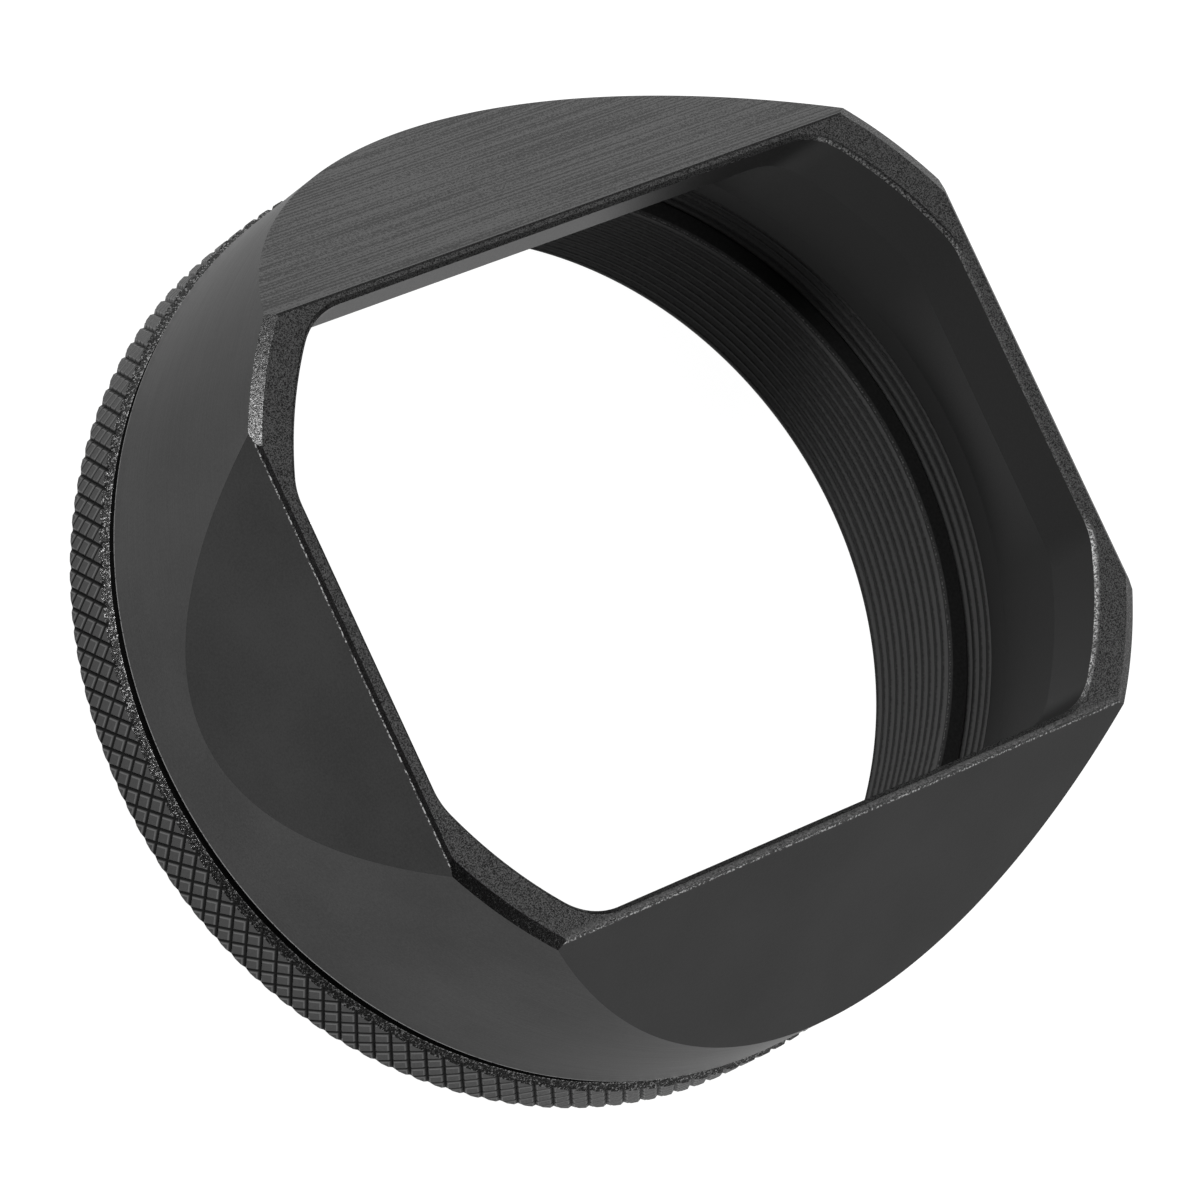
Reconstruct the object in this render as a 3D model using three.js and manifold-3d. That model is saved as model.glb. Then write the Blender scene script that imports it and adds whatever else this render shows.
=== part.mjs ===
// Square metal lens hood: a knurled adapter ring that screws onto a lens, and a rectangular-fronted
// shade that turns on the ring's neck so that it can be set level. Millimetres, +Z forward along the
// light path, origin on the axis at the ring's rear face, +Y towards the long upper edge of the front.
import * as THREE from 'three';
import { mergeVertices } from 'three/addons/utils/BufferGeometryUtils.js';
import { ConvexGeometry } from 'three/addons/geometries/ConvexGeometry.js';
import Module from 'manifold-3d';

// ---- driving dimensions ----
const ROUND_SEGMENTS = 96;

const FILTER_THREAD = { major: 49, pitch: 0.75 };
const SHADE_THREAD = { major: 52, pitch: 0.75 };
// An internal metric thread's crest stands this many pitches in from its nominal radius.
const CREST_DEPTH_PER_PITCH = 0.5413;

const GRIP_RADIUS = 28.05;
const GRIP_HEIGHT = 4.6;
const GRIP_FRONT_CHAMFER = 0.42;
const GRIP_REAR_CHAMFER = 0.2;
const NECK_TOP = 8.6;
const NECK_RADIUS = 25.5;
const NECK_LEAD_IN = 0.25;

const SHADE_BASE = 5.35;
const SHADE_TOP = 23.05;
const SHADE_RADIUS = 27.8;
const SHADE_BASE_CHAMFER = 0.2;
const CORNER_LAND = { width: 0.65, height: 0.35 };

// Outer flats: half the width across a pair at the front plane, how far it widens per mm of depth, and
// the width at the front plane of the small bevel that halves the angle between flat and front.
const SIDE_FLATS = { halfWidth: 24.51, slope: 0.264, edgeBreak: 0.17 };
const LONG_FLATS = { halfWidth: 18.42, slope: 0.826, edgeBreak: 0.08 };

// Front opening: straight sides, corners that follow a circle about the axis, and fillets between.
const WINDOW = { halfX: 23.46, halfY: 17.86, cornerRadius: 25.16, fillet: 4 };
const WINDOW_DEPTH = 4.5;
const WINDOW_CHAMFER = 0.25;

const THREAD_START = 8.2;
const THREAD_END = 10.9;
const RELIEF_RADIUS = 25.65;
const RELIEF_END = 12.5;

const RUNNING_CLEARANCE = 0.1;
const WASHER = { innerRadius: 25.9, outerRadius: 27.35 };

const WIRE = { bottom: 6.75, height: 0.5, innerRadius: 25.25, outerRadius: 25.85, gapDegrees: 12 };
const WIRE_GROOVE_CLEARANCE = 0.1;
const WIRE_GROOVE_SIDE_PLAY = 0.15;

const BLACK_ANODISED = { color: 0x2b2b2c, roughness: 0.5, metalness: 0.6 };
const BLACK_NYLON = { color: 0x121212, roughness: 0.7, metalness: 0.0 };
const SPRING_STEEL = { color: 0x77797c, roughness: 0.35, metalness: 1.0 };

// Cutters reach this far past the faces they open, and meet each other by this much.
const CUT_PAST_FACE = 1;
const CUT_OVERLAP = 0.01;
const FLAT_CUTTER_SIZE = 4 * SHADE_RADIUS;
const WELD_DISTANCE = 1e-4;

// ---- solids: closed geometry in, booleans, closed geometry out ----
const manifold = await Module();
manifold.setup();

function toSolid(geometry) {
  const bare = geometry.clone();
  bare.deleteAttribute('normal');
  bare.deleteAttribute('uv');
  const merged = mergeVertices(bare, WELD_DISTANCE);
  return new manifold.Manifold(new manifold.Mesh({
    numProp: 3,
    vertProperties: new Float32Array(merged.attributes.position.array),
    triVerts: new Uint32Array(merged.index.array),
  }));
}

function toGeometry(solid) {
  const mesh = solid.getMesh();
  const geometry = new THREE.BufferGeometry();
  geometry.setAttribute('position', new THREE.BufferAttribute(mesh.vertProperties, 3));
  geometry.setIndex(new THREE.BufferAttribute(mesh.triVerts, 1));
  geometry.computeVertexNormals();
  return geometry;
}

// A closed profile of [radius, z] points turned about the Z axis.
function turned(profile) {
  const points = profile.map(([radius, z]) => new THREE.Vector2(radius, z));
  points.push(points[0].clone());
  const geometry = new THREE.LatheGeometry(points, ROUND_SEGMENTS);
  geometry.rotateX(Math.PI / 2);
  return geometry;
}

function crestRadius(thread) {
  return thread.major / 2 - CREST_DEPTH_PER_PITCH * thread.pitch;
}

function namedMesh(name, geometry, finish) {
  const mesh = new THREE.Mesh(geometry, new THREE.MeshStandardMaterial(finish));
  mesh.name = name;
  return mesh;
}

// ---- adapter ring: knurled grip, neck, and the filter thread right through ----
function adapterRing() {
  const bore = crestRadius(FILTER_THREAD);
  const gripEdge = GRIP_RADIUS - GRIP_FRONT_CHAMFER;
  const grooveFloor = WIRE.innerRadius - WIRE_GROOVE_CLEARANCE;
  const grooveBottom = WIRE.bottom - WIRE_GROOVE_SIDE_PLAY;
  const grooveTop = WIRE.bottom + WIRE.height + WIRE_GROOVE_SIDE_PLAY;
  return turned([
    [bore, 0],
    [GRIP_RADIUS - GRIP_REAR_CHAMFER, 0],
    [GRIP_RADIUS, GRIP_REAR_CHAMFER],
    [GRIP_RADIUS, GRIP_HEIGHT - GRIP_FRONT_CHAMFER],
    [gripEdge, GRIP_HEIGHT],
    [NECK_RADIUS, GRIP_HEIGHT],
    [NECK_RADIUS, grooveBottom],
    [grooveFloor, grooveBottom],
    [grooveFloor, grooveTop],
    [NECK_RADIUS, grooveTop],
    [NECK_RADIUS, NECK_TOP],
    [bore + NECK_LEAD_IN, NECK_TOP],
    [bore, NECK_TOP - NECK_LEAD_IN],
  ]);
}

// ---- friction washer between the grip's front face and the shade's base ----
function frictionWasher() {
  const bottom = GRIP_HEIGHT + RUNNING_CLEARANCE;
  const top = SHADE_BASE - RUNNING_CLEARANCE;
  return turned([
    [WASHER.innerRadius, bottom],
    [WASHER.outerRadius, bottom],
    [WASHER.outerRadius, top],
    [WASHER.innerRadius, top],
  ]);
}

// ---- retaining wire: an open ring sprung into facing grooves of the neck and the shade ----
function retainingWire() {
  const halfGap = THREE.MathUtils.degToRad(WIRE.gapDegrees / 2);
  const outline = new THREE.Shape();
  outline.absarc(0, 0, WIRE.outerRadius, halfGap, 2 * Math.PI - halfGap, false);
  outline.absarc(0, 0, WIRE.innerRadius, 2 * Math.PI - halfGap, halfGap, true);
  const geometry = new THREE.ExtrudeGeometry(outline, {
    depth: WIRE.height,
    bevelEnabled: false,
    curveSegments: ROUND_SEGMENTS / 2,
  });
  geometry.translate(0, 0, WIRE.bottom);
  return geometry;
}

// ---- shade ----
// The window's outline, grown outwards by `margin`: in each quadrant a fillet, the corner arc, a fillet.
function windowOutline(margin) {
  const halfX = WINDOW.halfX + margin;
  const halfY = WINDOW.halfY + margin;
  const corner = WINDOW.cornerRadius + margin;
  const fillet = WINDOW.fillet + margin;
  const reach = corner - fillet;
  const sideY = Math.sqrt(reach ** 2 - (halfX - fillet) ** 2);
  const topX = Math.sqrt(reach ** 2 - (halfY - fillet) ** 2);
  const sideEnd = Math.atan2(sideY, halfX - fillet);
  const topStart = Math.atan2(halfY - fillet, topX);
  const arcs = [
    { x: halfX - fillet, y: sideY, radius: fillet, from: 0, to: sideEnd, steps: 3 },
    { x: 0, y: 0, radius: corner, from: sideEnd, to: topStart, steps: 4 },
    { x: topX, y: halfY - fillet, radius: fillet, from: topStart, to: Math.PI / 2, steps: 5 },
  ];
  const quadrant = [];
  arcs.forEach((arc, index) => {
    for (let step = index === 0 ? 0 : 1; step <= arc.steps; step += 1) {
      const angle = THREE.MathUtils.lerp(arc.from, arc.to, step / arc.steps);
      quadrant.push([arc.x + arc.radius * Math.cos(angle), arc.y + arc.radius * Math.sin(angle)]);
    }
  });
  const mirrored = [...quadrant].reverse();
  return [
    ...quadrant,
    ...mirrored.map(([x, y]) => [-x, y]),
    ...quadrant.map(([x, y]) => [-x, -y]),
    ...mirrored.map(([x, y]) => [x, -y]),
  ];
}

function circleOutline(radius) {
  const outline = [];
  for (let step = 0; step < ROUND_SEGMENTS; step += 1) {
    const angle = (2 * Math.PI * step) / ROUND_SEGMENTS;
    outline.push([radius * Math.cos(angle), radius * Math.sin(angle)]);
  }
  return outline;
}

// The straight-sided solid between two convex outlines at two heights.
function between(lower, lowerZ, upper, upperZ) {
  return new ConvexGeometry([
    ...lower.map(([x, y]) => new THREE.Vector3(x, y, lowerZ)),
    ...upper.map(([x, y]) => new THREE.Vector3(x, y, upperZ)),
  ]);
}

// A block whose inner face passes through `halfWidth` at the front plane and leans out by `lean` rearwards.
function flatCutter(azimuth, halfWidth, lean) {
  const block = new THREE.BoxGeometry(FLAT_CUTTER_SIZE, FLAT_CUTTER_SIZE, FLAT_CUTTER_SIZE);
  block.translate(FLAT_CUTTER_SIZE / 2, 0, 0);
  block.rotateY(-lean);
  block.translate(halfWidth, 0, SHADE_TOP);
  block.rotateZ(azimuth);
  return block;
}

function shadeBlank() {
  return turned([
    [0, SHADE_BASE],
    [SHADE_RADIUS - SHADE_BASE_CHAMFER, SHADE_BASE],
    [SHADE_RADIUS, SHADE_BASE + SHADE_BASE_CHAMFER],
    [SHADE_RADIUS, SHADE_TOP - CORNER_LAND.height],
    [SHADE_RADIUS - CORNER_LAND.width, SHADE_TOP],
    [0, SHADE_TOP],
  ]);
}

function shadeBore() {
  const neckBore = NECK_RADIUS + RUNNING_CLEARANCE;
  const crest = crestRadius(SHADE_THREAD);
  const grooveWall = WIRE.outerRadius + WIRE_GROOVE_CLEARANCE;
  const grooveBottom = WIRE.bottom - WIRE_GROOVE_SIDE_PLAY;
  const grooveTop = WIRE.bottom + WIRE.height + WIRE_GROOVE_SIDE_PLAY;
  return turned([
    [0, SHADE_BASE - CUT_PAST_FACE],
    [neckBore, SHADE_BASE - CUT_PAST_FACE],
    [neckBore, grooveBottom],
    [grooveWall, grooveBottom],
    [grooveWall, grooveTop],
    [neckBore, grooveTop],
    [neckBore, THREAD_START],
    [crest, THREAD_START],
    [crest, THREAD_END],
    [RELIEF_RADIUS, THREAD_END],
    [RELIEF_RADIUS, RELIEF_END],
    [0, RELIEF_END],
  ]);
}

function shade() {
  let solid = toSolid(shadeBlank());
  const flats = [
    { azimuth: 0, ...SIDE_FLATS },
    { azimuth: Math.PI / 2, ...LONG_FLATS },
    { azimuth: Math.PI, ...SIDE_FLATS },
    { azimuth: -Math.PI / 2, ...LONG_FLATS },
  ];
  for (const flat of flats) {
    const lean = Math.atan(flat.slope);
    const breakLean = (lean + Math.PI / 2) / 2;
    solid = solid.subtract(toSolid(flatCutter(flat.azimuth, flat.halfWidth, lean)));
    solid = solid.subtract(toSolid(flatCutter(flat.azimuth, flat.halfWidth - flat.edgeBreak, breakLean)));
  }
  const windowFloor = SHADE_TOP - WINDOW_DEPTH;
  const hollows = [
    shadeBore(),
    between(circleOutline(RELIEF_RADIUS), RELIEF_END - CUT_OVERLAP, windowOutline(0), windowFloor),
    between(windowOutline(0), windowFloor - CUT_OVERLAP, windowOutline(0), SHADE_TOP + CUT_PAST_FACE),
    between(
      windowOutline(0),
      SHADE_TOP - WINDOW_CHAMFER,
      windowOutline(2 * WINDOW_CHAMFER),
      SHADE_TOP + WINDOW_CHAMFER,
    ),
  ];
  for (const hollow of hollows) {
    solid = solid.subtract(toSolid(hollow));
  }
  return toGeometry(solid);
}

// ---- assembly ----
const lensMount = new THREE.Group();
lensMount.add(namedMesh('adapter_ring', adapterRing(), BLACK_ANODISED));
lensMount.add(namedMesh('friction_washer', frictionWasher(), BLACK_NYLON));
lensMount.add(namedMesh('retaining_wire', retainingWire(), SPRING_STEEL));

const turningShade = new THREE.Group();
turningShade.add(namedMesh('shade', shade(), BLACK_ANODISED));

const lensHood = new THREE.Group();
lensHood.add(lensMount, turningShade);

export default lensHood;
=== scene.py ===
"""Square metal lens hood: a knurled adapter ring with a turning, rectangular-fronted shade.

Every length below is in millimetres in the CAD frame (+Z forward along the light path, origin on
the axis at the ring's rear face) and is scaled to metres when a mesh is made.
"""

import math

import bmesh
import bpy
from mathutils import Matrix, Vector


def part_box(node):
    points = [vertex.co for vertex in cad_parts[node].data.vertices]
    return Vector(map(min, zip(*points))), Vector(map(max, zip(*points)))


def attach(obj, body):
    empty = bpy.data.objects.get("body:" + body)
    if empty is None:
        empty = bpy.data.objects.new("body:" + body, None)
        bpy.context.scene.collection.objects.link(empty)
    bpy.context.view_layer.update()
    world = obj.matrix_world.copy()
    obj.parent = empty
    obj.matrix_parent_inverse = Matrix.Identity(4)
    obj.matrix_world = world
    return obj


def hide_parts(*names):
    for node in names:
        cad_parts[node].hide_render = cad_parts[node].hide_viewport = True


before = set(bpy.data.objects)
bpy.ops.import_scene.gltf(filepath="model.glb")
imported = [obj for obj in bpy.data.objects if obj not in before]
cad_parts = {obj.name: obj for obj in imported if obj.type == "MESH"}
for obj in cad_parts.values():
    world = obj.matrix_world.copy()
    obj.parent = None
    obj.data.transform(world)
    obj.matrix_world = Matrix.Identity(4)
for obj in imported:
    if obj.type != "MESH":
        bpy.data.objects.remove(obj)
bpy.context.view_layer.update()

MM = 0.001
TURN = 2 * math.pi


# ---- places that the frame gives ----
def node_reach(node):
    """The outer radius, lowest z and highest z of a CAD node, in mm."""
    low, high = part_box(node)
    return high.x / MM, low.z / MM, high.z / MM


GRIP_RADIUS, RING_REAR, NECK_TOP = node_reach("adapter_ring")
SHADE_RADIUS, SHADE_BASE, SHADE_TOP = node_reach("shade")
WASHER_RADIUS, WASHER_BOTTOM, WASHER_TOP = node_reach("friction_washer")
WIRE_RADIUS, WIRE_BOTTOM, WIRE_TOP = node_reach("retaining_wire")

# ---- driving dimensions of the adapter ring ----
FILTER_THREAD = {"major": 49.0, "pitch": 0.75}
SHADE_THREAD = {"major": 52.0, "pitch": 0.75}
CREST_DEPTH_PER_PITCH = 0.5413
# One pitch of an internal metric thread: the crest's flat, a flank, the root's flat, a flank.
CREST_FLAT, ROOT_START, ROOT_END = 0.25, 0.5625, 0.6875

GRIP_HEIGHT = 4.6
GRIP_FRONT_CHAMFER = 0.42
GRIP_REAR_CHAMFER = 0.2
NECK_RADIUS = 25.5
NECK_EDGE = 0.12
FILTER_THREAD_START = 0.4
FILTER_THREAD_END = 8.3
FILTER_BORE_RADIUS = 24.3
FILTER_BORE_CHAMFER = 0.13
REAR_BORE_RADIUS = 24.33

# Two opposite families of V grooves round the grip.
KNURL_LINES = 153
KNURL_AXIAL_PERIOD = 2.05
KNURL_GROOVE_SHARE = 0.2
KNURL_DEPTH = 0.17
KNURL_CUTS = 4
KNURL_WELD = 1e-5
REAR_BORE_TAPER = 0.1

# ---- driving dimensions of the shade ----
SHADE_BASE_CHAMFER = 0.2
LAND_WIDTH = 0.65
LAND_HEIGHT = 0.35
SIDE_FLATS = {"half_width": 24.51, "slope": 0.264, "edge_break": 0.17}
LONG_FLATS = {"half_width": 18.42, "slope": 0.826, "edge_break": 0.08}
WINDOW = {"half_x": 23.46, "half_y": 17.86, "corner": 25.16, "fillet": 4.0}
WINDOW_DEPTH = 4.5
WINDOW_CHAMFER = 0.25
SHADE_THREAD_START = 8.2
SHADE_THREAD_END = 10.9
RELIEF_RADIUS = 25.65
RELIEF_END = 12.5

RUNNING_CLEARANCE = 0.1
WIRE_INNER_RADIUS = 25.25
WIRE_GAP_DEGREES = 12
WIRE_GROOVE_CLEARANCE = 0.1
WIRE_GROOVE_SIDE_PLAY = 0.15
WASHER_INNER_RADIUS = 25.9
WASHER_EDGE = 0.08

# ---- cutting marks and wear ----
FEED_MARK_PITCH = 0.24
# How little a black inside reflects, as its index of refraction.
WALL_INDEX = 1.15
DULL_INDEX = 1.2
THREAD_INDEX = 1.05

# ---- mesh fineness ----
SHADE_COLUMNS = 480
WINDOW_FILLET_STEP = math.radians(0.2)
WASHER_COLUMNS = 240
WIRE_STEPS = 300
WIRE_SECTION_POINTS = 20
WIRE_END_RINGS = 5
WELD = 1e-7
NEAREST_AZIMUTHS = 1e-5
SHARP_ANGLE = math.radians(4)
KNURL_SHARP_ANGLE = math.radians(20)

GROOVE_BOTTOM = WIRE_BOTTOM - WIRE_GROOVE_SIDE_PLAY
GROOVE_TOP = WIRE_TOP + WIRE_GROOVE_SIDE_PLAY


# ---- meshes ----
def new_piece(name, bm, materials, sharp_angle=SHARP_ANGLE):
    """Welds the bmesh, whose lengths are in mm, into a smooth-shaded object with crisp edges."""
    bmesh.ops.scale(bm, vec=(MM, MM, MM), verts=bm.verts)
    bmesh.ops.remove_doubles(bm, verts=bm.verts, dist=WELD)
    bmesh.ops.dissolve_degenerate(bm, edges=bm.edges, dist=WELD)
    for face in bm.faces:
        face.smooth = True
    mesh = bpy.data.meshes.new(name)
    bm.to_mesh(mesh)
    bm.free()
    for material in materials:
        mesh.materials.append(material)
    mesh.set_sharp_from_angle(angle=sharp_angle)
    piece = bpy.data.objects.new(name, mesh)
    bpy.context.scene.collection.objects.link(piece)
    return piece


def stand_for(piece, body, node):
    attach(piece, body)
    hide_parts(node)
    return piece


def polar(radius, azimuth, z):
    return (radius * math.cos(azimuth), radius * math.sin(azimuth), z)


def add_columns(bm, azimuths, profile, closed=True):
    """Skins one profile per azimuth. A profile is a list of (radius, z, material of the strip after
    it), taken anticlockwise in the (radius, z) plane, so that the faces point outwards."""
    columns = []
    kinds = []
    for azimuth in azimuths:
        points = profile(azimuth)
        columns.append([bm.verts.new(polar(radius, azimuth, z)) for radius, z, _ in points])
        kinds.append([kind for _, _, kind in points])
    count = len(columns[0])
    for left, right, left_kinds in zip(columns, columns[1:], kinds):
        for row in range(count if closed else count - 1):
            above = (row + 1) % count
            face = bm.faces.new((left[row], right[row], right[above], left[above]))
            face.material_index = left_kinds[row]


def even_azimuths(count):
    return [TURN * step / count for step in range(count + 1)]


# ---- threads ----
def crest_radius(thread):
    return thread["major"] / 2 - CREST_DEPTH_PER_PITCH * thread["pitch"]


def thread_form(thread):
    """One pitch as (share of the pitch, radius) points."""
    crest = crest_radius(thread)
    root = thread["major"] / 2
    return [(0, crest), (CREST_FLAT, crest), (ROOT_START, root), (ROOT_END, root), (1, crest)]


def thread_radius(thread, share):
    form = thread_form(thread)
    for (start, low), (end, high) in zip(form, form[1:]):
        if share <= end:
            return low + (high - low) * (share - start) / (end - start)
    return form[-1][1]


def thread_rows(thread, bottom, top, azimuth, kind):
    """A right-handed internal thread's profile at one azimuth, from the top plane down."""
    pitch = thread["pitch"]
    lead = azimuth / TURN
    rows = []
    for turn in range(-1, math.ceil((top - bottom) / pitch)):
        for share, radius in thread_form(thread)[:-1]:
            z = bottom + pitch * (turn + share + lead)
            if bottom <= z <= top:
                rows.append((radius, z, kind))
                continue
            z = min(max(z, bottom), top)
            rows.append((thread_radius(thread, ((z - bottom) / pitch - lead) % 1), z, kind))
    return rows[::-1]


# ---- adapter ring ----
RING_MATERIALS = ("knurl", "ring_bevel", "ring_face", "neck", "lead_in", "thread", "ring_rear")
(KNURL, RING_BEVEL, RING_FACE, NECK, LEAD_IN, RING_THREAD,
 RING_REAR_FACE) = range(len(RING_MATERIALS))


def knurl_depth(share):
    """How deep one family's groove is at a share of its pitch, as a share of its full depth."""
    return max(0.0, 1 - min(share, 1 - share) / KNURL_GROOVE_SHARE)


def knurl_cell(bm, first, second):
    """One diamond between grooves, unrolled: x in pitches round the grip, y up, z its radius."""
    shares = (0, KNURL_GROOVE_SHARE, 1 - KNURL_GROOVE_SHARE, 1)
    grid = {}
    for i, a in enumerate(shares):
        for j, b in enumerate(shares):
            depth = KNURL_DEPTH * max(knurl_depth(a), knurl_depth(b))
            x = (first + a + second + b) / 2
            y = KNURL_AXIAL_PERIOD * (first + a - second - b) / 2
            grid[i, j] = bm.verts.new((x, y, GRIP_RADIUS - depth))
    for i in range(3):
        for j in range(3):
            corners = [grid[i, j], grid[i, j + 1], grid[i + 1, j + 1], grid[i + 1, j]]
            if i == 1 or j == 1:
                bm.faces.new(corners)
                continue
            # Where two grooves cross, the floor folds from the crossing to the diamond.
            if i == j:
                corners = corners[1:] + corners[:1]
            bm.faces.new((corners[0], corners[1], corners[3]))
            bm.faces.new((corners[1], corners[2], corners[3]))


def cut(bm, place, normal, clear=False):
    """Cuts every face along a plane, and drops what lies in front of it if asked."""
    everything = bm.verts[:] + bm.edges[:] + bm.faces[:]
    bmesh.ops.bisect_plane(
        bm, geom=everything, dist=KNURL_WELD, plane_co=place, plane_no=normal, clear_outer=clear,
    )


def grip_curtain(bm, edge, z, radius, inner_radius, forward):
    """The chamfer from the knurl's cut edge to a circle, then the flat face in to a coarser circle."""
    edge = sorted(edge, key=lambda vert: vert.co.x)
    rim = [bm.verts.new((vert.co.x, z, radius)) for vert in edge]
    inner = [bm.verts.new((step / KNURL_CUTS, z, inner_radius)) for step in range(KNURL_CUTS + 1)]
    faces = []
    for index in range(len(edge) - 1):
        corners = [edge[index], edge[index + 1], rim[index + 1], rim[index]]
        faces.append((corners, RING_BEVEL))
    for step in range(KNURL_CUTS):
        low = step / KNURL_CUTS - KNURL_WELD
        high = (step + 1) / KNURL_CUTS + KNURL_WELD
        span = [vert for vert in rim if low <= vert.co.x <= high]
        corners = span + [inner[step + 1], inner[step]]
        faces.append((corners, RING_FACE if forward else RING_REAR_FACE))
    for corners, kind in faces:
        face = bm.faces.new(corners if forward else corners[::-1])
        face.material_index = kind


def grip_sector():
    """One knurl pitch of the grip, unrolled, with the chamfers that the knurling was cut before."""
    bm = bmesh.new()
    rows = math.ceil(GRIP_HEIGHT / KNURL_AXIAL_PERIOD) + 2
    for first in range(-rows, rows + 1):
        for second in range(-rows, rows + 1):
            knurl_cell(bm, first, second)
    bmesh.ops.remove_doubles(bm, verts=bm.verts, dist=KNURL_WELD)
    cut(bm, (0, 0, 0), (-1, 0, 0), clear=True)
    cut(bm, (1, 0, 0), (1, 0, 0), clear=True)
    front = (0, GRIP_HEIGHT - GRIP_FRONT_CHAMFER, GRIP_RADIUS)
    rear = (0, RING_REAR + GRIP_REAR_CHAMFER, GRIP_RADIUS)
    cut(bm, (0, GRIP_HEIGHT, 0), (0, 1, 0), clear=True)
    cut(bm, (0, RING_REAR - KNURL_DEPTH, 0), (0, -1, 0), clear=True)
    cut(bm, front, (0, 1, 1), clear=True)
    cut(bm, rear, (0, -1, 1), clear=True)
    for step in range(1, KNURL_CUTS):
        cut(bm, (step / KNURL_CUTS, 0, 0), (1, 0, 0))
    front_edge = [vert for vert in bm.verts if abs(vert.co.y + vert.co.z - sum(front)) < KNURL_WELD]
    rear_gap = rear[2] - rear[1]
    rear_edge = [vert for vert in bm.verts if abs(vert.co.z - vert.co.y - rear_gap) < KNURL_WELD]
    grip_curtain(
        bm, front_edge, GRIP_HEIGHT, GRIP_RADIUS - GRIP_FRONT_CHAMFER, NECK_RADIUS, forward=True,
    )
    grip_curtain(
        bm, rear_edge, RING_REAR, GRIP_RADIUS - GRIP_REAR_CHAMFER, REAR_BORE_RADIUS, forward=False,
    )
    bm.verts.index_update()
    points = [vert.co.copy() for vert in bm.verts]
    faces = [([vert.index for vert in face.verts], face.material_index) for face in bm.faces]
    bm.free()
    return points, faces


def add_grip(bm):
    points, faces = grip_sector()
    for line in range(KNURL_LINES):
        wrapped = [
            bm.verts.new(polar(point.z, TURN * (line + point.x) / KNURL_LINES, point.y))
            for point in points
        ]
        for corners, kind in faces:
            face = bm.faces.new([wrapped[corner] for corner in corners])
            face.material_index = kind


def neck_and_bore(azimuth):
    """From the grip's front face round the neck and down the threaded bore to the rear face."""
    groove_floor = WIRE_INNER_RADIUS - WIRE_GROOVE_CLEARANCE
    outside = [
        (NECK_RADIUS, GRIP_HEIGHT, NECK),
        (NECK_RADIUS, GROOVE_BOTTOM, NECK),
        (groove_floor, GROOVE_BOTTOM, NECK),
        (groove_floor, GROOVE_TOP, NECK),
        (NECK_RADIUS, GROOVE_TOP, NECK),
        (NECK_RADIUS, NECK_TOP - NECK_EDGE, NECK),
        (NECK_RADIUS - NECK_EDGE, NECK_TOP, NECK),
        (FILTER_BORE_RADIUS + FILTER_BORE_CHAMFER, NECK_TOP, LEAD_IN),
        (FILTER_BORE_RADIUS, NECK_TOP - FILTER_BORE_CHAMFER, LEAD_IN),
        (FILTER_BORE_RADIUS, FILTER_THREAD_END, RING_THREAD),
    ]
    rows = thread_rows(
        FILTER_THREAD, FILTER_THREAD_START, FILTER_THREAD_END, azimuth, RING_THREAD,
    )
    lead_in = [
        (REAR_BORE_RADIUS - REAR_BORE_TAPER, FILTER_THREAD_START, LEAD_IN),
        (REAR_BORE_RADIUS, RING_REAR, LEAD_IN),
    ]
    return outside + rows + lead_in


def make_adapter_ring():
    bm = bmesh.new()
    add_grip(bm)
    add_columns(bm, even_azimuths(KNURL_LINES * KNURL_CUTS), neck_and_bore, closed=False)
    materials = [ring_finish(kind) for kind in RING_MATERIALS]
    ring = new_piece("knurled_ring", bm, materials, KNURL_SHARP_ANGLE)
    return stand_for(ring, "lens_mount", "adapter_ring")


# ---- friction washer and retaining wire ----
def make_friction_washer():
    bm = bmesh.new()
    profile = [
        (WASHER_INNER_RADIUS + WASHER_EDGE, WASHER_BOTTOM, 0),
        (WASHER_RADIUS - WASHER_EDGE, WASHER_BOTTOM, 0),
        (WASHER_RADIUS, WASHER_BOTTOM + WASHER_EDGE, 0),
        (WASHER_RADIUS, WASHER_TOP - WASHER_EDGE, 0),
        (WASHER_RADIUS - WASHER_EDGE, WASHER_TOP, 0),
        (WASHER_INNER_RADIUS + WASHER_EDGE, WASHER_TOP, 0),
        (WASHER_INNER_RADIUS, WASHER_TOP - WASHER_EDGE, 0),
        (WASHER_INNER_RADIUS, WASHER_BOTTOM + WASHER_EDGE, 0),
    ]
    add_columns(bm, even_azimuths(WASHER_COLUMNS), lambda azimuth: profile)
    washer = new_piece("nylon_washer", bm, [nylon()])
    return stand_for(washer, "lens_mount", "friction_washer")


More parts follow.
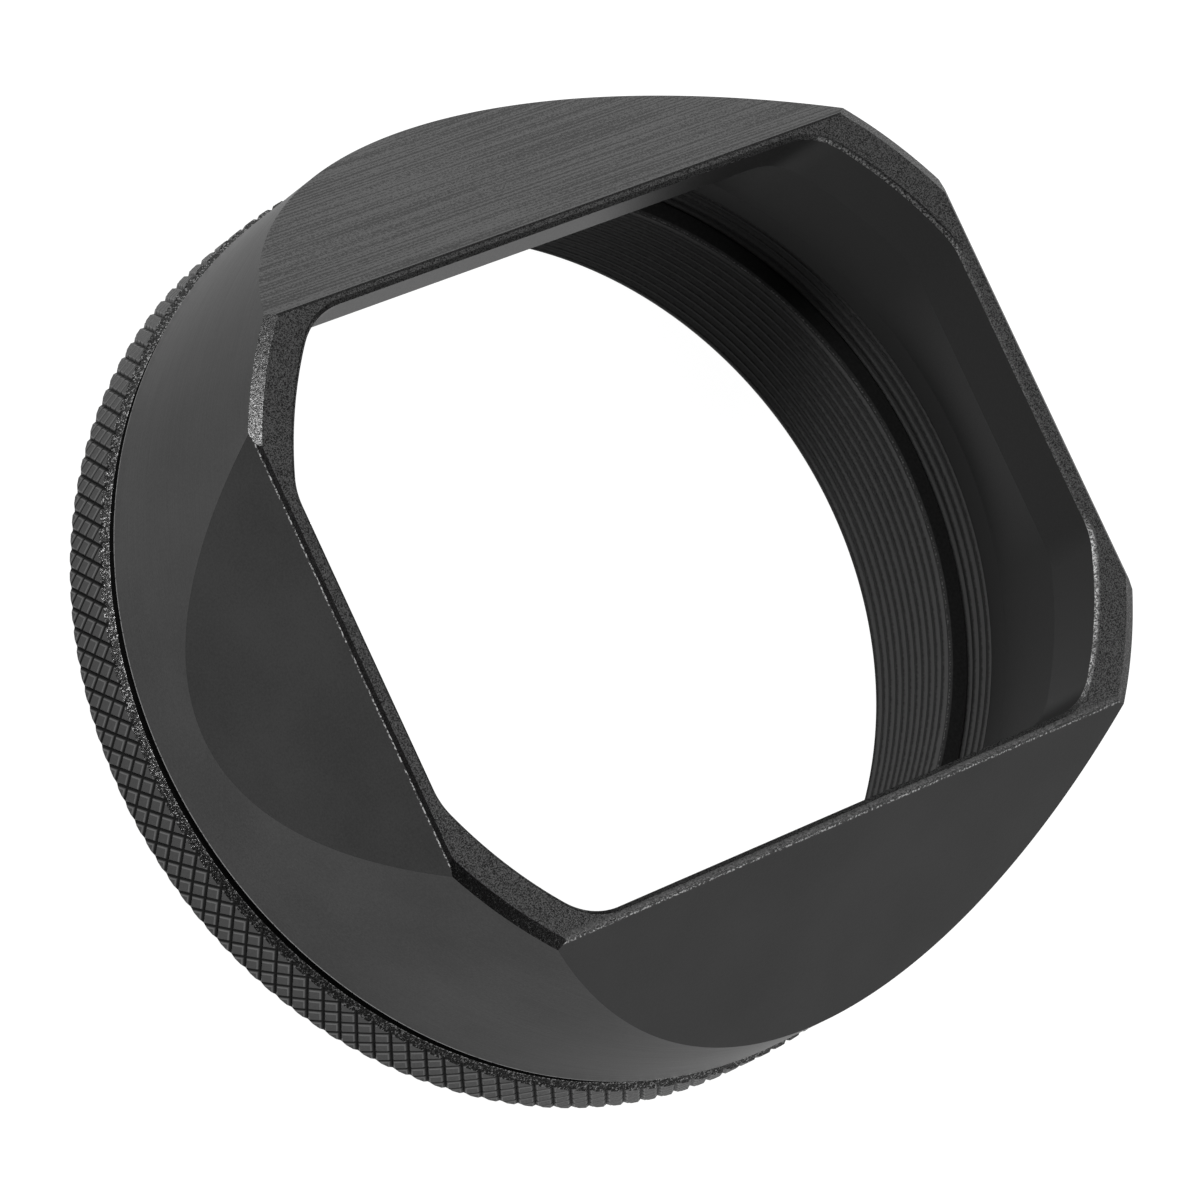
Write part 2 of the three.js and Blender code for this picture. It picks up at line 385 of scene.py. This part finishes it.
def make_retaining_wire():
    """A round-section open ring whose two ends are domed."""
    bm = bmesh.new()
    height = WIRE_TOP - WIRE_BOTTOM
    section = height / 2
    middle = (WIRE_RADIUS + WIRE_INNER_RADIUS) / 2
    z = WIRE_BOTTOM + section
    start = math.radians(WIRE_GAP_DEGREES / 2)
    dome = section / middle
    lifts = [math.pi / 2 * (ring + 0.5) / WIRE_END_RINGS for ring in range(WIRE_END_RINGS)]
    first_end = [(start + dome * (1 - math.cos(lift)), math.sin(lift)) for lift in lifts]
    last_end = [(TURN - azimuth, share) for azimuth, share in reversed(first_end)]
    straight = TURN - 2 * (start + dome)
    body = [(start + dome + straight * step / WIRE_STEPS, 1.0) for step in range(WIRE_STEPS + 1)]
    rings = []
    for azimuth, share in first_end + body + last_end:
        ring = []
        for point in range(WIRE_SECTION_POINTS):
            angle = TURN * point / WIRE_SECTION_POINTS
            radius = middle + section * share * math.cos(angle)
            ring.append(bm.verts.new(polar(radius, azimuth, z + section * share * math.sin(angle))))
        rings.append(ring)
    for left, right in zip(rings, rings[1:]):
        for point in range(WIRE_SECTION_POINTS):
            above = (point + 1) % WIRE_SECTION_POINTS
            bm.faces.new((left[point], right[point], right[above], left[above]))
    bm.faces.new(rings[0])
    bm.faces.new(rings[-1][::-1])
    wire = new_piece("spring_wire", bm, [spring_steel()], KNURL_SHARP_ANGLE)
    return stand_for(wire, "lens_mount", "retaining_wire")


# ---- shade ----
SHADE_MATERIALS = ("edge_break", "corner_land", "milled_flat", "fine_flat", "side_flat",
                   "turned_wall", "rim", "window_chamfer", "window_wall", "funnel", "thread", "bore")
(BREAK, LAND, MILLED, FINE, SIDE, WALL, RIM, WINDOW_EDGE, WINDOW_WALL, FUNNEL, SHADE_TURNS,
 BORE) = range(len(SHADE_MATERIALS))


def break_slope(flat):
    """The edge break's slope: its plane halves the angle between the flat and the front face."""
    return math.tan((math.atan(flat["slope"]) + math.pi / 2) / 2)


def break_depth(flat):
    return flat["edge_break"] / (break_slope(flat) - flat["slope"])


def outer_lines(azimuth):
    """The planes and cones that bound the shade, as (radius at the front, gain per mm of depth,
    material), steepest first, in the direction of one azimuth."""
    across = max(abs(math.cos(azimuth)), 1e-9)
    along = max(abs(math.sin(azimuth)), 1e-9)
    long_edge = LONG_FLATS["half_width"]
    side_edge = SIDE_FLATS["half_width"]
    long_break = long_edge - LONG_FLATS["edge_break"]
    side_break = side_edge - SIDE_FLATS["edge_break"]
    upper = math.sin(azimuth) > 0
    return [
        # The -Y edge break takes the bright land finish as a painted highlight, the other edge breaks
        # the dark break finish as painted shade.
        (long_break / along, break_slope(LONG_FLATS) / along, BREAK if upper else LAND),
        (SHADE_RADIUS - LAND_WIDTH, LAND_WIDTH / LAND_HEIGHT, LAND),
        (side_break / across, break_slope(SIDE_FLATS) / across, BREAK),
        (long_edge / along, LONG_FLATS["slope"] / along, MILLED if upper else FINE),
        (side_edge / across, SIDE_FLATS["slope"] / across, SIDE),
        (SHADE_RADIUS, 0.0, WALL),
    ]


def outer_wall(azimuth):
    """The shade's outer profile at one azimuth, from its base up: the nearest of all its surfaces."""
    lines = outer_lines(azimuth)
    full_depth = SHADE_TOP - SHADE_BASE - SHADE_BASE_CHAMFER
    current = min(range(len(lines)), key=lambda index: (lines[index][0], lines[index][1]))
    depths = [0.0] * (current + 1)
    while current < len(lines) - 1:
        start, gain, _ = lines[current]
        crossings = []
        for later in range(current + 1, len(lines)):
            other_start, other_gain, _ = lines[later]
            if gain > other_gain:
                crossings.append(((other_start - start) / (gain - other_gain), later))
        depth, following = min(crossings)
        depths += [max(depth, depths[-1])] * (following - current)
        current = following
    depths.append(full_depth)
    points = []
    for index, (_, _, kind) in enumerate(lines):
        depth = depths[index + 1]
        radius = min(start + gain * depth for start, gain, _ in lines)
        points.append((radius, SHADE_TOP - depth, kind))
    front_radius = min(start for start, _, _ in lines)
    return points[::-1] + [(front_radius, SHADE_TOP, RIM)]


def window_arcs():
    """The centres of the first quadrant's two fillets, between its straight sides and its corner."""
    reach = WINDOW["corner"] - WINDOW["fillet"]
    side_x = WINDOW["half_x"] - WINDOW["fillet"]
    top_y = WINDOW["half_y"] - WINDOW["fillet"]
    side = Vector((side_x, math.sqrt(reach ** 2 - side_x ** 2)))
    top = Vector((math.sqrt(reach ** 2 - top_y ** 2), top_y))
    return side, top


def window_ends(margin):
    """Where, in the first quadrant, each stretch of the window's outline ends."""
    side, top = window_arcs()
    return [
        math.atan2(side.y, WINDOW["half_x"] + margin),
        math.atan2(side.y, side.x),
        math.atan2(top.y, top.x),
        math.atan2(WINDOW["half_y"] + margin, top.x),
    ]


def window_radius(azimuth, margin=0.0):
    """The window outline's radius, grown outwards by margin."""
    folded = math.atan2(abs(math.sin(azimuth)), abs(math.cos(azimuth)))
    side, top = window_arcs()
    side_end, corner_start, corner_end, top_start = window_ends(margin)
    if folded <= side_end:
        return (WINDOW["half_x"] + margin) / math.cos(folded)
    if folded >= top_start:
        return (WINDOW["half_y"] + margin) / math.sin(folded)
    if corner_start <= folded <= corner_end:
        return WINDOW["corner"] + margin
    centre = side if folded < corner_start else top
    turn = folded - math.atan2(centre.y, centre.x)
    radius = WINDOW["fillet"] + margin
    across = centre.length * math.sin(turn)
    return centre.length * math.cos(turn) + math.sqrt(radius ** 2 - across ** 2)


def quadrant_azimuths():
    """The first quadrant's azimuths where the shade's surfaces meet, and a fine run of its fillets."""
    marks = []
    for flat, direction in ((LONG_FLATS, math.asin), (SIDE_FLATS, math.acos)):
        for depth in (0.0, break_depth(flat), LAND_HEIGHT):
            plane = min(
                flat["half_width"] - flat["edge_break"] + break_slope(flat) * depth,
                flat["half_width"] + flat["slope"] * depth,
            )
            cone = SHADE_RADIUS - LAND_WIDTH + LAND_WIDTH / LAND_HEIGHT * depth
            marks.append(direction(plane / cone))
    for margin in (0.0, WINDOW_CHAMFER):
        marks += window_ends(margin)
    side_end, corner_start, corner_end, top_start = window_ends(0.0)
    for low, high in ((side_end, corner_start), (corner_end, top_start)):
        steps = math.ceil((high - low) / WINDOW_FILLET_STEP)
        marks += [low + (high - low) * step / steps for step in range(1, steps)]
    return marks


def shade_azimuths():
    azimuths = even_azimuths(SHADE_COLUMNS)
    for mark in quadrant_azimuths():
        azimuths += [mark, math.pi - mark, math.pi + mark, TURN - mark]
    azimuths.sort()
    kept = [azimuths[0]]
    for azimuth in azimuths[1:]:
        if azimuth - kept[-1] > NEAREST_AZIMUTHS:
            kept.append(azimuth)
    kept[-1] = TURN
    return kept


def shade_profile(azimuth):
    base = [(SHADE_RADIUS - SHADE_BASE_CHAMFER, SHADE_BASE, LAND)]
    window_floor = SHADE_TOP - WINDOW_DEPTH
    window = [
        (window_radius(azimuth, WINDOW_CHAMFER), SHADE_TOP, WINDOW_EDGE),
        (window_radius(azimuth), SHADE_TOP - WINDOW_CHAMFER, WINDOW_WALL),
        (window_radius(azimuth), window_floor, FUNNEL),
        (RELIEF_RADIUS, RELIEF_END, FUNNEL),
        (RELIEF_RADIUS, SHADE_THREAD_END, SHADE_TURNS),
    ]
    rows = thread_rows(
        SHADE_THREAD, SHADE_THREAD_START, SHADE_THREAD_END, azimuth, SHADE_TURNS,
    )
    neck_bore = NECK_RADIUS + RUNNING_CLEARANCE
    groove_wall = WIRE_RADIUS + WIRE_GROOVE_CLEARANCE
    bore = [
        (neck_bore, SHADE_THREAD_START, BORE),
        (neck_bore, GROOVE_TOP, BORE),
        (groove_wall, GROOVE_TOP, BORE),
        (groove_wall, GROOVE_BOTTOM, BORE),
        (neck_bore, GROOVE_BOTTOM, BORE),
        (neck_bore, SHADE_BASE, BORE),
    ]
    return base + outer_wall(azimuth) + window + rows + bore


def make_shade():
    bm = bmesh.new()
    add_columns(bm, shade_azimuths(), shade_profile)
    materials = [shade_finish(kind) for kind in SHADE_MATERIALS]
    shade = new_piece("square_shade", bm, materials)
    return stand_for(shade, "turning_shade", "shade")


# ---- materials ----
class Surface:
    """A Principled material with short ways to wire procedural detail, measured in mm, into it."""

    def __init__(self, name, grey, roughness, metallic=1.0, edge=1.0):
        """Black anodised metal is a dark mirror: `grey` is what it reflects head on, and `edge`
        how far its reflection grows at a glancing angle."""
        self.material = bpy.data.materials.new(name)
        self.material.use_nodes = True
        self.tree = self.material.node_tree
        self.shader = self.tree.nodes["Principled BSDF"]
        self.shader.inputs["Base Color"].default_value = (grey, grey, grey, 1.0)
        self.shader.inputs["Roughness"].default_value = roughness
        self.shader.inputs["Metallic"].default_value = metallic
        self.shader.inputs["Specular Tint"].default_value = (edge, edge, edge, 1.0)
        scale = self.node("ShaderNodeVectorMath", operation="SCALE")
        self.plug(self.node("ShaderNodeTexCoord").outputs["Object"], scale.inputs[0])
        self.plug(1 / MM, scale.inputs["Scale"])
        self.mm = scale.outputs["Vector"]

    def node(self, kind, **settings):
        node = self.tree.nodes.new(kind)
        for setting, value in settings.items():
            setattr(node, setting, value)
        return node

    def plug(self, value, socket):
        if isinstance(value, bpy.types.NodeSocket):
            self.tree.links.new(value, socket)
        else:
            socket.default_value = value

    def math(self, operation, *values):
        node = self.node("ShaderNodeMath", operation=operation)
        for value, socket in zip(values, node.inputs):
            self.plug(value, socket)
        return node.outputs[0]

    def axes(self):
        split = self.node("ShaderNodeSeparateXYZ")
        self.plug(self.mm, split.inputs[0])
        return split.outputs

    def join(self, x, y, z):
        join = self.node("ShaderNodeCombineXYZ")
        for value, socket in zip((x, y, z), join.inputs):
            self.plug(value, socket)
        return join.outputs[0]

    def radius(self):
        x, y, _ = self.axes()
        squares = self.math("ADD", self.math("MULTIPLY", x, x), self.math("MULTIPLY", y, y))
        return self.math("SQRT", squares)

    def around(self, turns, rise, spread=0.0):
        """A seamless field that is long round the axis and short along it, or across it by `spread`:
        the lines that turning leaves."""
        x, y, z = self.axes()
        radius = self.radius()
        along_x = self.math("MULTIPLY", self.math("DIVIDE", x, radius), turns)
        along_y = self.math("MULTIPLY", self.math("DIVIDE", y, radius), turns)
        across = self.math("MULTIPLY", z, rise)
        if spread:
            across = self.math("ADD", across, self.math("MULTIPLY", radius, spread))
        return self.join(along_x, along_y, across)

    def noise(self, place, scale, detail=2.0, roughness=0.5):
        node = self.node("ShaderNodeTexNoise")
        self.plug(place, node.inputs["Vector"])
        self.plug(scale, node.inputs["Scale"])
        self.plug(detail, node.inputs["Detail"])
        self.plug(roughness, node.inputs["Roughness"])
        return node.outputs["Fac"]

    def blend(self, first, second, share):
        """Two fields mixed, `share` of the second."""
        first = self.math("MULTIPLY", first, 1 - share)
        return self.math("ADD", first, self.math("MULTIPLY", second, share))

    def spread(self, value, low, high, to_low, to_high):
        node = self.node("ShaderNodeMapRange", clamp=True)
        for item, socket in zip((value, low, high, to_low, to_high), node.inputs):
            self.plug(item, socket)
        return node.outputs[0]

    def tint(self, value, low, high, dark, light):
        """Base colour from a field: grey `dark` where it is at `low`, grey `light` at `high`."""
        self.grey = self.spread(value, low, high, dark, light)
        self.plug(self.grey, self.shader.inputs["Base Color"])

    def lighten(self, grey):
        """Raises the tint to a second grey field wherever that one is the lighter."""
        self.grey = self.math("MAXIMUM", self.grey, grey)
        self.plug(self.grey, self.shader.inputs["Base Color"])

    def darken(self, share, grey):
        """Multiplies the tint by `grey` where the field is 1, and leaves it where it is 0."""
        self.grey = self.math("MULTIPLY", self.grey, self.spread(share, 0.0, 1.0, 1.0, grey))
        self.plug(self.grey, self.shader.inputs["Base Color"])

    def wear(self, z, half_width, light, cover=0.5):
        """Lightens a thin line round an edge at height z, broken into grains that leave all but
        `cover` of it as it was."""
        apart = self.math("ABSOLUTE", self.math("SUBTRACT", self.axes()["Z"], z))
        near = self.spread(apart, 0.4 * half_width, half_width, light, 0.0)
        middle = 0.65 - 0.3 * cover
        worn = self.spread(self.noise(self.mm, 8, detail=2), middle - 0.05, middle + 0.05, 0.1, 1.0)
        self.lighten(self.math("MULTIPLY", near, worn))

    def glance(self, value, low, high, dull, bright):
        """How far the reflection grows at a glancing angle, from a field."""
        self.plug(self.spread(value, low, high, dull, bright), self.shader.inputs["Specular Tint"])

    def roughen(self, value, low, high, smooth, rough):
        self.plug(self.spread(value, low, high, smooth, rough), self.shader.inputs["Roughness"])

    def bump(self, height, depth, under=None):
        """Raises the surface by a field, `depth` mm from its 0 to its 1."""
        node = self.node("ShaderNodeBump")
        node.inputs["Distance"].default_value = depth * MM
        self.plug(height, node.inputs["Height"])
        if under is not None:
            self.tree.links.new(under, node.inputs["Normal"])
        self.tree.links.new(node.outputs["Normal"], self.shader.inputs["Normal"])
        return node.outputs["Normal"]


def turned_wall():
    """The round body, with the faint lines of the lathe and a worn edge at its base."""
    surface = Surface("anodised_turned", 0.055, roughness=0.45, edge=0.62)
    lines = surface.noise(surface.around(6, 14), 1.0, detail=3)
    grain = surface.noise(surface.mm, 8, detail=3, roughness=0.7)
    cloud = surface.noise(surface.mm, 0.12, detail=3)
    surface.tint(surface.blend(cloud, grain, 0.6), 0.38, 0.62, 0.042, 0.062)
    surface.wear(SHADE_BASE + SHADE_BASE_CHAMFER + 0.04, 0.08, 0.22, cover=0.9)
    surface.roughen(lines, 0.3, 0.7, 0.37, 0.43)
    surface.bump(grain, 0.004, under=surface.bump(lines, 0.001))
    return surface.material


def milled_flat():
    """The upper long flat, with the fine, slightly wandering lines that the cutter left along it."""
    surface = Surface("anodised_milled", 0.045, roughness=0.4)
    x, _, z = surface.axes()
    far = surface.join(surface.math("MULTIPLY", x, 0.012), 0.0, z)
    wander = surface.math("MULTIPLY", surface.noise(far, 1.2, 2), 1.2)
    feed = surface.math("ADD", surface.math("DIVIDE", z, FEED_MARK_PITCH), wander)
    feed = surface.math("SINE", surface.math("MULTIPLY", feed, TURN))
    feed = surface.spread(feed, -1.0, 1.0, 0.0, 1.0)
    scratches = surface.spread(surface.noise(far, 6, 0), 0.4, 0.6, 0.0, 1.0)
    grain = surface.spread(surface.noise(surface.mm, 9, 1), 0.4, 0.6, 0.0, 1.0)
    marks = surface.blend(surface.blend(feed, scratches, 0.5), grain, 0.4)
    # Its greys are lighter than the other flats', partly for the cutter marks and partly as painted
    # light for the brighter +Y side.
    surface.tint(marks, 0.3, 0.7, 0.043, 0.076)
    surface.glance(marks, 0.3, 0.7, 0.72, 1.0)
    surface.wear(SHADE_TOP - break_depth(LONG_FLATS) - 0.06, 0.09, 0.07)
    surface.roughen(marks, 0.2, 0.8, 0.36, 0.44)
    surface.bump(marks, 0.004)
    return surface.material


def fine_flat(name="anodised_fine", dark=0.026, light=0.036, break_at=LONG_FLATS):
    """A flat that was cut finely enough to show only its grain."""
    surface = Surface(name, (dark + light) / 2, roughness=0.4)
    grain = surface.noise(surface.mm, 8, detail=3, roughness=0.7)
    cloud = surface.noise(surface.mm, 0.15, detail=3)
    surface.tint(surface.blend(cloud, grain, 0.6), 0.38, 0.62, dark, light)
    surface.wear(SHADE_TOP - break_depth(break_at) - 0.04, 0.09, 0.4, cover=0.35)
    surface.roughen(grain, 0.3, 0.7, 0.38, 0.46)
    surface.bump(grain, 0.005)
    return surface.material


def blasted(name, depth=0.02, dark=0.012, light=0.088, sparkle=0.0, rough=0.4, edge=1.0,
            glint_scale=8):
    """A grit-blasted surface; `sparkle` is how bright its rare catching grains are."""
    surface = Surface(name, (dark + light) / 2, rough, edge=edge)
    grain = surface.noise(surface.mm, 13, detail=2, roughness=0.7)
    surface.tint(grain, 0.39, 0.61, dark, light)
    if sparkle:
        glints = surface.noise(surface.mm, glint_scale, 3, 0.8)
        glints = surface.spread(glints, 0.54, 0.6, 0.0, sparkle)
        surface.lighten(glints)
    surface.roughen(grain, 0.35, 0.65, rough + 0.05, rough - 0.1)
    surface.bump(grain, depth)
    return surface


def rim():
    """The blasted front face, with a painted highlight in grains along its -Y edge, where the light
    falls brighter.
    """
    surface = blasted("blasted_rim")
    edge = -LONG_FLATS["half_width"]
    # Painted highlight: the base grey is raised in grains along the -Y edge only.
    painted_highlight_band = surface.spread(surface.axes()["Y"], edge + 0.1, edge + 0.5, 0.13, 0.0)
    grains = surface.spread(surface.noise(surface.mm, 10, 2, 0.8), 0.44, 0.58, 0.2, 1.0)
    surface.lighten(surface.math("MULTIPLY", painted_highlight_band, grains))
    return surface.material


def corner_land():
    """The blasted cone outside each of the rim's corners, the -Y edge break, where it is a painted
    highlight, and the base's chamfer.
    """
    surface = blasted("blasted_corner_land", depth=0.01, light=0.085, sparkle=0.14, rough=0.27)
    surface.wear(SHADE_TOP, 0.05, 0.08)
    return surface.material


def window_chamfer():
    """The chamfer round the opening, with a painted highlight in grains where its corners bulge out
    and faintly at its +X side, where it catches the light.
    """
    surface = blasted("window_chamfer_painted_highlight", edge=0.3)
    foot = SHADE_TOP - WINDOW_CHAMFER
    x, _, z = surface.axes()
    low = surface.spread(z, foot + 0.1, foot + 0.22, 0.42, 0.06)
    bulge = surface.spread(surface.radius(), WINDOW["corner"] - 0.4, WINDOW["corner"], 0.0, 1.0)
    side = surface.spread(x, WINDOW["half_x"] - 0.6, WINDOW["half_x"] - 0.1, 0.0, 0.3)
    bulge = surface.math("MAXIMUM", bulge, side)
    grains = surface.spread(surface.noise(surface.mm, 8, 3, 0.8), 0.44, 0.6, 0.0, 1.0)
    # Painted highlight: lighter grains near the chamfer's foot, at the corners and along +X.
    surface.lighten(surface.math("MULTIPLY", surface.math("MULTIPLY", low, bulge), grains))
    return surface.material


def ring_bevel():
    """Dull, with glints only where it catches a light; its front edge is worn in places."""
    surface = blasted("blasted_ring_bevel", 0.03, 0.014, 0.048, 0.25, rough=0.26, glint_scale=6.5)
    surface.wear(GRIP_HEIGHT, 0.05, 0.4, cover=0.3)
    return surface.material


def interior(name, grey, index, roughness):
    """The inside of the shade, which is duller than the outside so that it doesn't glare."""
    surface = Surface(name, grey, roughness, metallic=0.0)
    surface.shader.inputs["IOR"].default_value = index
    grain = surface.noise(surface.mm, 8, detail=3, roughness=0.7)
    surface.tint(grain, 0.38, 0.62, grey * 0.9, grey * 1.1)
    surface.roughen(grain, 0.3, 0.7, roughness - 0.04, roughness + 0.04)
    surface.bump(grain, 0.003)
    return surface.material


def bore(name, grey=0.024, roughness=0.55, rise=9, spread=0.0):
    """A dull turned surface, with `rise` lines to the mm along the axis or `spread` across it."""
    surface = Surface(name, grey, roughness, metallic=0.0)
    surface.shader.inputs["IOR"].default_value = DULL_INDEX
    lines = surface.noise(surface.around(8, rise, spread), 1.0, detail=3)
    grain = surface.noise(surface.mm, 5, detail=3, roughness=0.7)
    surface.tint(grain, 0.38, 0.62, grey * 0.8, grey * 1.2)
    surface.roughen(lines, 0.3, 0.7, roughness - 0.06, roughness + 0.06)
    surface.bump(lines, 0.003)
    return surface


def lead_in():
    """The plain ends of the filter bore, with the front one's edge worn."""
    surface = bore("turned_lead_in", 0.022)
    surface.wear(NECK_TOP - FILTER_BORE_CHAMFER, 0.07, 0.1, cover=0.3)
    return surface.material


def cut_thread(name, thread, crest, flank):
    """Thread turns: the crests are painted darker as painted shade, for the dark bore they face, and
    the upward flanks lighter as painted light; grain makes the boundary ragged.
    """
    surface = Surface(name, flank, roughness=0.6, metallic=0.0)
    surface.shader.inputs["IOR"].default_value = THREAD_INDEX
    top = crest_radius(thread)
    grain = surface.noise(surface.mm, 5, detail=3, roughness=0.7)
    ragged_edge = surface.math("MULTIPLY", surface.math("SUBTRACT", grain, 0.5), 0.15)
    place = surface.math("ADD", surface.radius(), ragged_edge)
    # Painted shade on the crests and painted light on the flanks, split by radius.
    surface.tint(place, top + 0.01, top + 0.12, crest, flank)
    surface.roughen(grain, 0.35, 0.65, 0.52, 0.68)
    surface.bump(grain, 0.003)
    return surface.material


def knurl():
    """Diamonds whose groove walls are painted lighter near the top, a painted highlight for walls that
    catch the light, and grooves painted darker towards their floors as painted shade.
    """
    surface = Surface("anodised_knurl", 0.045, roughness=0.42, edge=0.6)
    height = surface.spread(surface.radius(), GRIP_RADIUS - KNURL_DEPTH, GRIP_RADIUS, 0.0, 1.0)
    # Painted shade at the groove floors, painted highlight on the upper groove walls.
    surface.tint(height, 0.4, 0.82, 0.013, 0.14)
    # The plateaus are kept darker than their painted-highlight edges.
    plateau = surface.spread(height, 0.86, 1.0, 0.0, 1.0)
    surface.darken(plateau, 0.44)
    grain = surface.noise(surface.mm, 8, detail=2)
    surface.roughen(grain, 0.3, 0.7, 0.36, 0.5)
    surface.bump(grain, 0.004)
    return surface.material


def nylon():
    surface = Surface("nylon_black", 0.01, roughness=0.55, metallic=0.0)
    grain = surface.noise(surface.mm, 4, detail=3)
    surface.roughen(grain, 0.3, 0.7, 0.5, 0.7)
    surface.bump(grain, 0.006)
    return surface.material


def spring_steel():
    surface = Surface("steel_spring", 0.5, roughness=0.3)
    draw = surface.noise(surface.around(2, 20), 1.0, detail=3)
    surface.roughen(draw, 0.3, 0.7, 0.24, 0.4)
    surface.bump(draw, 0.002)
    return surface.material


def ring_finish(kind):
    makers = {
        "knurl": knurl,
        "ring_bevel": ring_bevel,
        # The ring's front face is painted near-black, darker than the same turned finish on the rear
        # face: painted shade in the slot under the shade.
        "ring_face": lambda: bore("turned_ring_face", 0.005, rise=0, spread=9).material,
        "neck": lambda: bore("turned_neck", 0.016, roughness=0.4, spread=9).material,
        "lead_in": lead_in,
        # The crest grey is painted shade and the flank grey painted light.
        "thread": lambda: cut_thread("ring_thread", FILTER_THREAD, crest=0.026, flank=0.092),
        "ring_rear": lambda: bore("turned_ring_rear", rise=0, spread=9).material,
    }
    return makers[kind]()


def shade_finish(kind):
    makers = {
        # The edge breaks' dark grey is painted shade along the chamfers.
        "edge_break": lambda: blasted("cut_edge_break", depth=0.006, dark=0.008, light=0.03).material,
        "corner_land": corner_land,
        "milled_flat": milled_flat,
        "fine_flat": fine_flat,
        # The side flats are a lighter copy of the lower long flat's finish, set to the light on them:
        # painted light.
        "side_flat": lambda: fine_flat("anodised_side", 0.029, 0.041, SIDE_FLATS),
        "turned_wall": turned_wall,
        "rim": rim,
        "window_chamfer": window_chamfer,
        "window_wall": lambda: interior("dull_window_wall", 0.016, WALL_INDEX, 0.4),
        "funnel": lambda: interior("dull_funnel", 0.008, DULL_INDEX, 0.55),
        # The crest grey is painted shade and the flank grey painted light.
        "thread": lambda: cut_thread("shade_thread", SHADE_THREAD, crest=0.024, flank=0.078),
        "bore": lambda: bore("shade_bore").material,
    }
    return makers[kind]()


# ---- studio ----
VIEW_AZIMUTH = math.radians(-81.64)
VIEW_ELEVATION = math.radians(55.90)
VIEW_ROLL = math.radians(58.11)
VIEW_TARGET = Vector((-1.07, -1.10, 11.3))
VIEW_DISTANCE = 377.0
FOCAL_LENGTH = 201.2
FILM_WIDTH = 36.0

FLOOR_SIZE = 8000.0
FLOOR_GAP = 0.02
FLOOR_GREY = 0.12
FLOOR_GLOW = 0.99

PANEL_DISTANCE = 900.0
PANELS = {
    "key_panel": {"direction": (-0.34, 0.46, 0.82), "size": 220.0, "power": 1.9},
    "side_panel": {"direction": (-0.78, 0.36, 0.52), "size": 160.0, "power": 1.2},
    "fill_panel": {"direction": (0.37, -0.42, 0.83), "size": 500.0, "power": 2.5},
}

DARK_DIRECTION = Vector((-0.45, -0.18, 0.87))
# From and to these cosines of the angle, the surroundings go from the third value to the fourth.
DARK_STOPS = (0.66, 0.91, 0.95, 0.07)
SIDE_STOPS = (-1.0, 1.0, 0.5, 1.1)


def view_axes():
    """The camera's right, up and backward directions."""
    back = Vector((
        math.sin(VIEW_AZIMUTH) * math.cos(VIEW_ELEVATION),
        -math.cos(VIEW_AZIMUTH) * math.cos(VIEW_ELEVATION),
        math.sin(VIEW_ELEVATION),
    ))
    level = Vector((0, 0, 1)).cross(back).normalized()
    upright = back.cross(level)
    right = math.cos(VIEW_ROLL) * level + math.sin(VIEW_ROLL) * upright
    up = math.cos(VIEW_ROLL) * upright - math.sin(VIEW_ROLL) * level
    return right, up, back


def make_camera():
    right, up, back = view_axes()
    lens = bpy.data.cameras.new("camera")
    lens.lens = FOCAL_LENGTH
    lens.sensor_width = FILM_WIDTH
    lens.clip_start = MM
    lens.clip_end = 100.0
    camera = bpy.data.objects.new("camera", lens)
    bpy.context.scene.collection.objects.link(camera)
    turn = Matrix((right, up, back)).transposed().to_4x4()
    camera.matrix_world = Matrix.Translation((VIEW_TARGET + back * VIEW_DISTANCE) * MM) @ turn
    bpy.context.scene.camera = camera


def make_floor():
    bm = bmesh.new()
    bmesh.ops.create_grid(bm, x_segments=8, y_segments=8, size=FLOOR_SIZE / 2)
    bmesh.ops.translate(bm, vec=(0, 0, RING_REAR - FLOOR_GAP), verts=bm.verts)
    surface = Surface("pale_floor", FLOOR_GREY, roughness=0.9, metallic=0.0)
    surface.shader.inputs["Emission Color"].default_value = (1.0, 1.0, 1.0, 1.0)
    surface.shader.inputs["Emission Strength"].default_value = FLOOR_GLOW
    new_piece("floor", bm, [surface.material])


def make_panel(name, direction, size, power):
    """A round diffusing panel that faces the origin."""
    panel = bpy.data.lights.new(name, "AREA")
    panel.shape = "DISK"
    panel.size = size * MM
    panel.energy = power
    lamp = bpy.data.objects.new(name, panel)
    bpy.context.scene.collection.objects.link(lamp)
    towards = Vector(direction)
    turn = towards.to_track_quat("Z", "Y").to_matrix().to_4x4()
    lamp.matrix_world = Matrix.Translation(towards.normalized() * PANEL_DISTANCE * MM) @ turn


def world_ramp(tree, direction, stops):
    """A grey that changes with how far each direction lies from the given one."""
    place = tree.nodes.new("ShaderNodeTexCoord")
    dot = tree.nodes.new("ShaderNodeVectorMath")
    dot.operation = "DOT_PRODUCT"
    tree.links.new(place.outputs["Generated"], dot.inputs[0])
    dot.inputs[1].default_value = direction.normalized()
    spread = tree.nodes.new("ShaderNodeMapRange")
    tree.links.new(dot.outputs["Value"], spread.inputs[0])
    for socket, value in zip(list(spread.inputs)[1:5], stops):
        socket.default_value = value
    return spread.outputs[0]


def make_surroundings():
    """A pale studio all round, dimmer towards -Y and dark where the photographer stands."""
    world = bpy.data.worlds.new("studio")
    world.use_nodes = True
    bpy.context.scene.world = world
    tree = world.node_tree
    level = tree.nodes.new("ShaderNodeMath")
    level.operation = "MULTIPLY"
    tree.links.new(world_ramp(tree, DARK_DIRECTION, DARK_STOPS), level.inputs[0])
    tree.links.new(world_ramp(tree, Vector((0, 1, 0)), SIDE_STOPS), level.inputs[1])
    tree.links.new(level.outputs[0], tree.nodes["Background"].inputs["Strength"])
    tree.nodes["Background"].inputs["Color"].default_value = (1, 1, 1, 1)


# ---- assembly ----
make_camera()
make_floor()
for name, panel in PANELS.items():
    make_panel(name, **panel)
make_surroundings()
make_adapter_ring()
make_friction_washer()
make_retaining_wire()
make_shade()
bpy.context.scene.view_settings.view_transform = "Standard"
